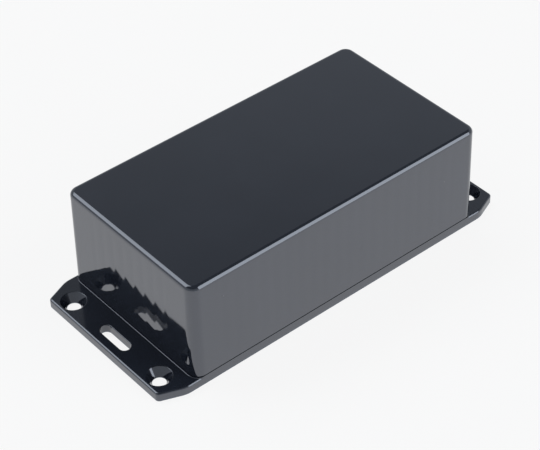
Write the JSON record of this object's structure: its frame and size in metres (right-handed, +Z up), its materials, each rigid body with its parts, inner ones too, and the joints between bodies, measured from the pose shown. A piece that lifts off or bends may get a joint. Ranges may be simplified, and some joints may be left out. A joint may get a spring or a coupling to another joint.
{
  "type": "plastic project box",
  "caption": "Black moulded plastic project box: a deep rectangular case on a flat lid whose two end flanges have countersunk holes and a slot.",
  "frame": {"origin": "middle of the lid's underside, on the surface that the box stands on", "axes": "+X along the case, from flange to flange; +Y across it; +Z up, from the lid to the closed face"},
  "size_m": [0.1448, 0.0644, 0.04],
  "materials": {
    "case_plastic": "gloss",
    "lid_plastic": "satin gloss",
    "screw_steel": "zinc plated",
    "insert_brass": "machined"
  },
  "bodies": {
    "lid": {"flanged_lid": "lid_plastic"},
    "case": {"box_body": "case_plastic", "brass_insert_front_left": "insert_brass", "brass_insert_front_right": "insert_brass", "brass_insert_rear_left": "insert_brass", "brass_insert_rear_right": "insert_brass"},
    "screw_front_left": {"lid_screw_front_left": "screw_steel"},
    "screw_front_right": {"lid_screw_front_right": "screw_steel"},
    "screw_rear_left": {"lid_screw_rear_left": "screw_steel"},
    "screw_rear_right": {"lid_screw_rear_right": "screw_steel"}
  },
  "joints": [
    {"name": "box_lift", "type": "slide", "parent": "lid", "child": "case", "axis": [0, 0, 1], "range_m": [0, 0.06]},
    {"name": "unscrew_front_left", "type": "slide", "parent": "lid", "child": "screw_front_left", "axis": [0, 0, -1], "range_m": [0, 0.014]},
    {"name": "unscrew_front_right", "type": "slide", "parent": "lid", "child": "screw_front_right", "axis": [0, 0, -1], "range_m": [0, 0.014]},
    {"name": "unscrew_rear_left", "type": "slide", "parent": "lid", "child": "screw_rear_left", "axis": [0, 0, -1], "range_m": [0, 0.014]},
    {"name": "unscrew_rear_right", "type": "slide", "parent": "lid", "child": "screw_rear_right", "axis": [0, 0, -1], "range_m": [0, 0.014]}
  ]
}
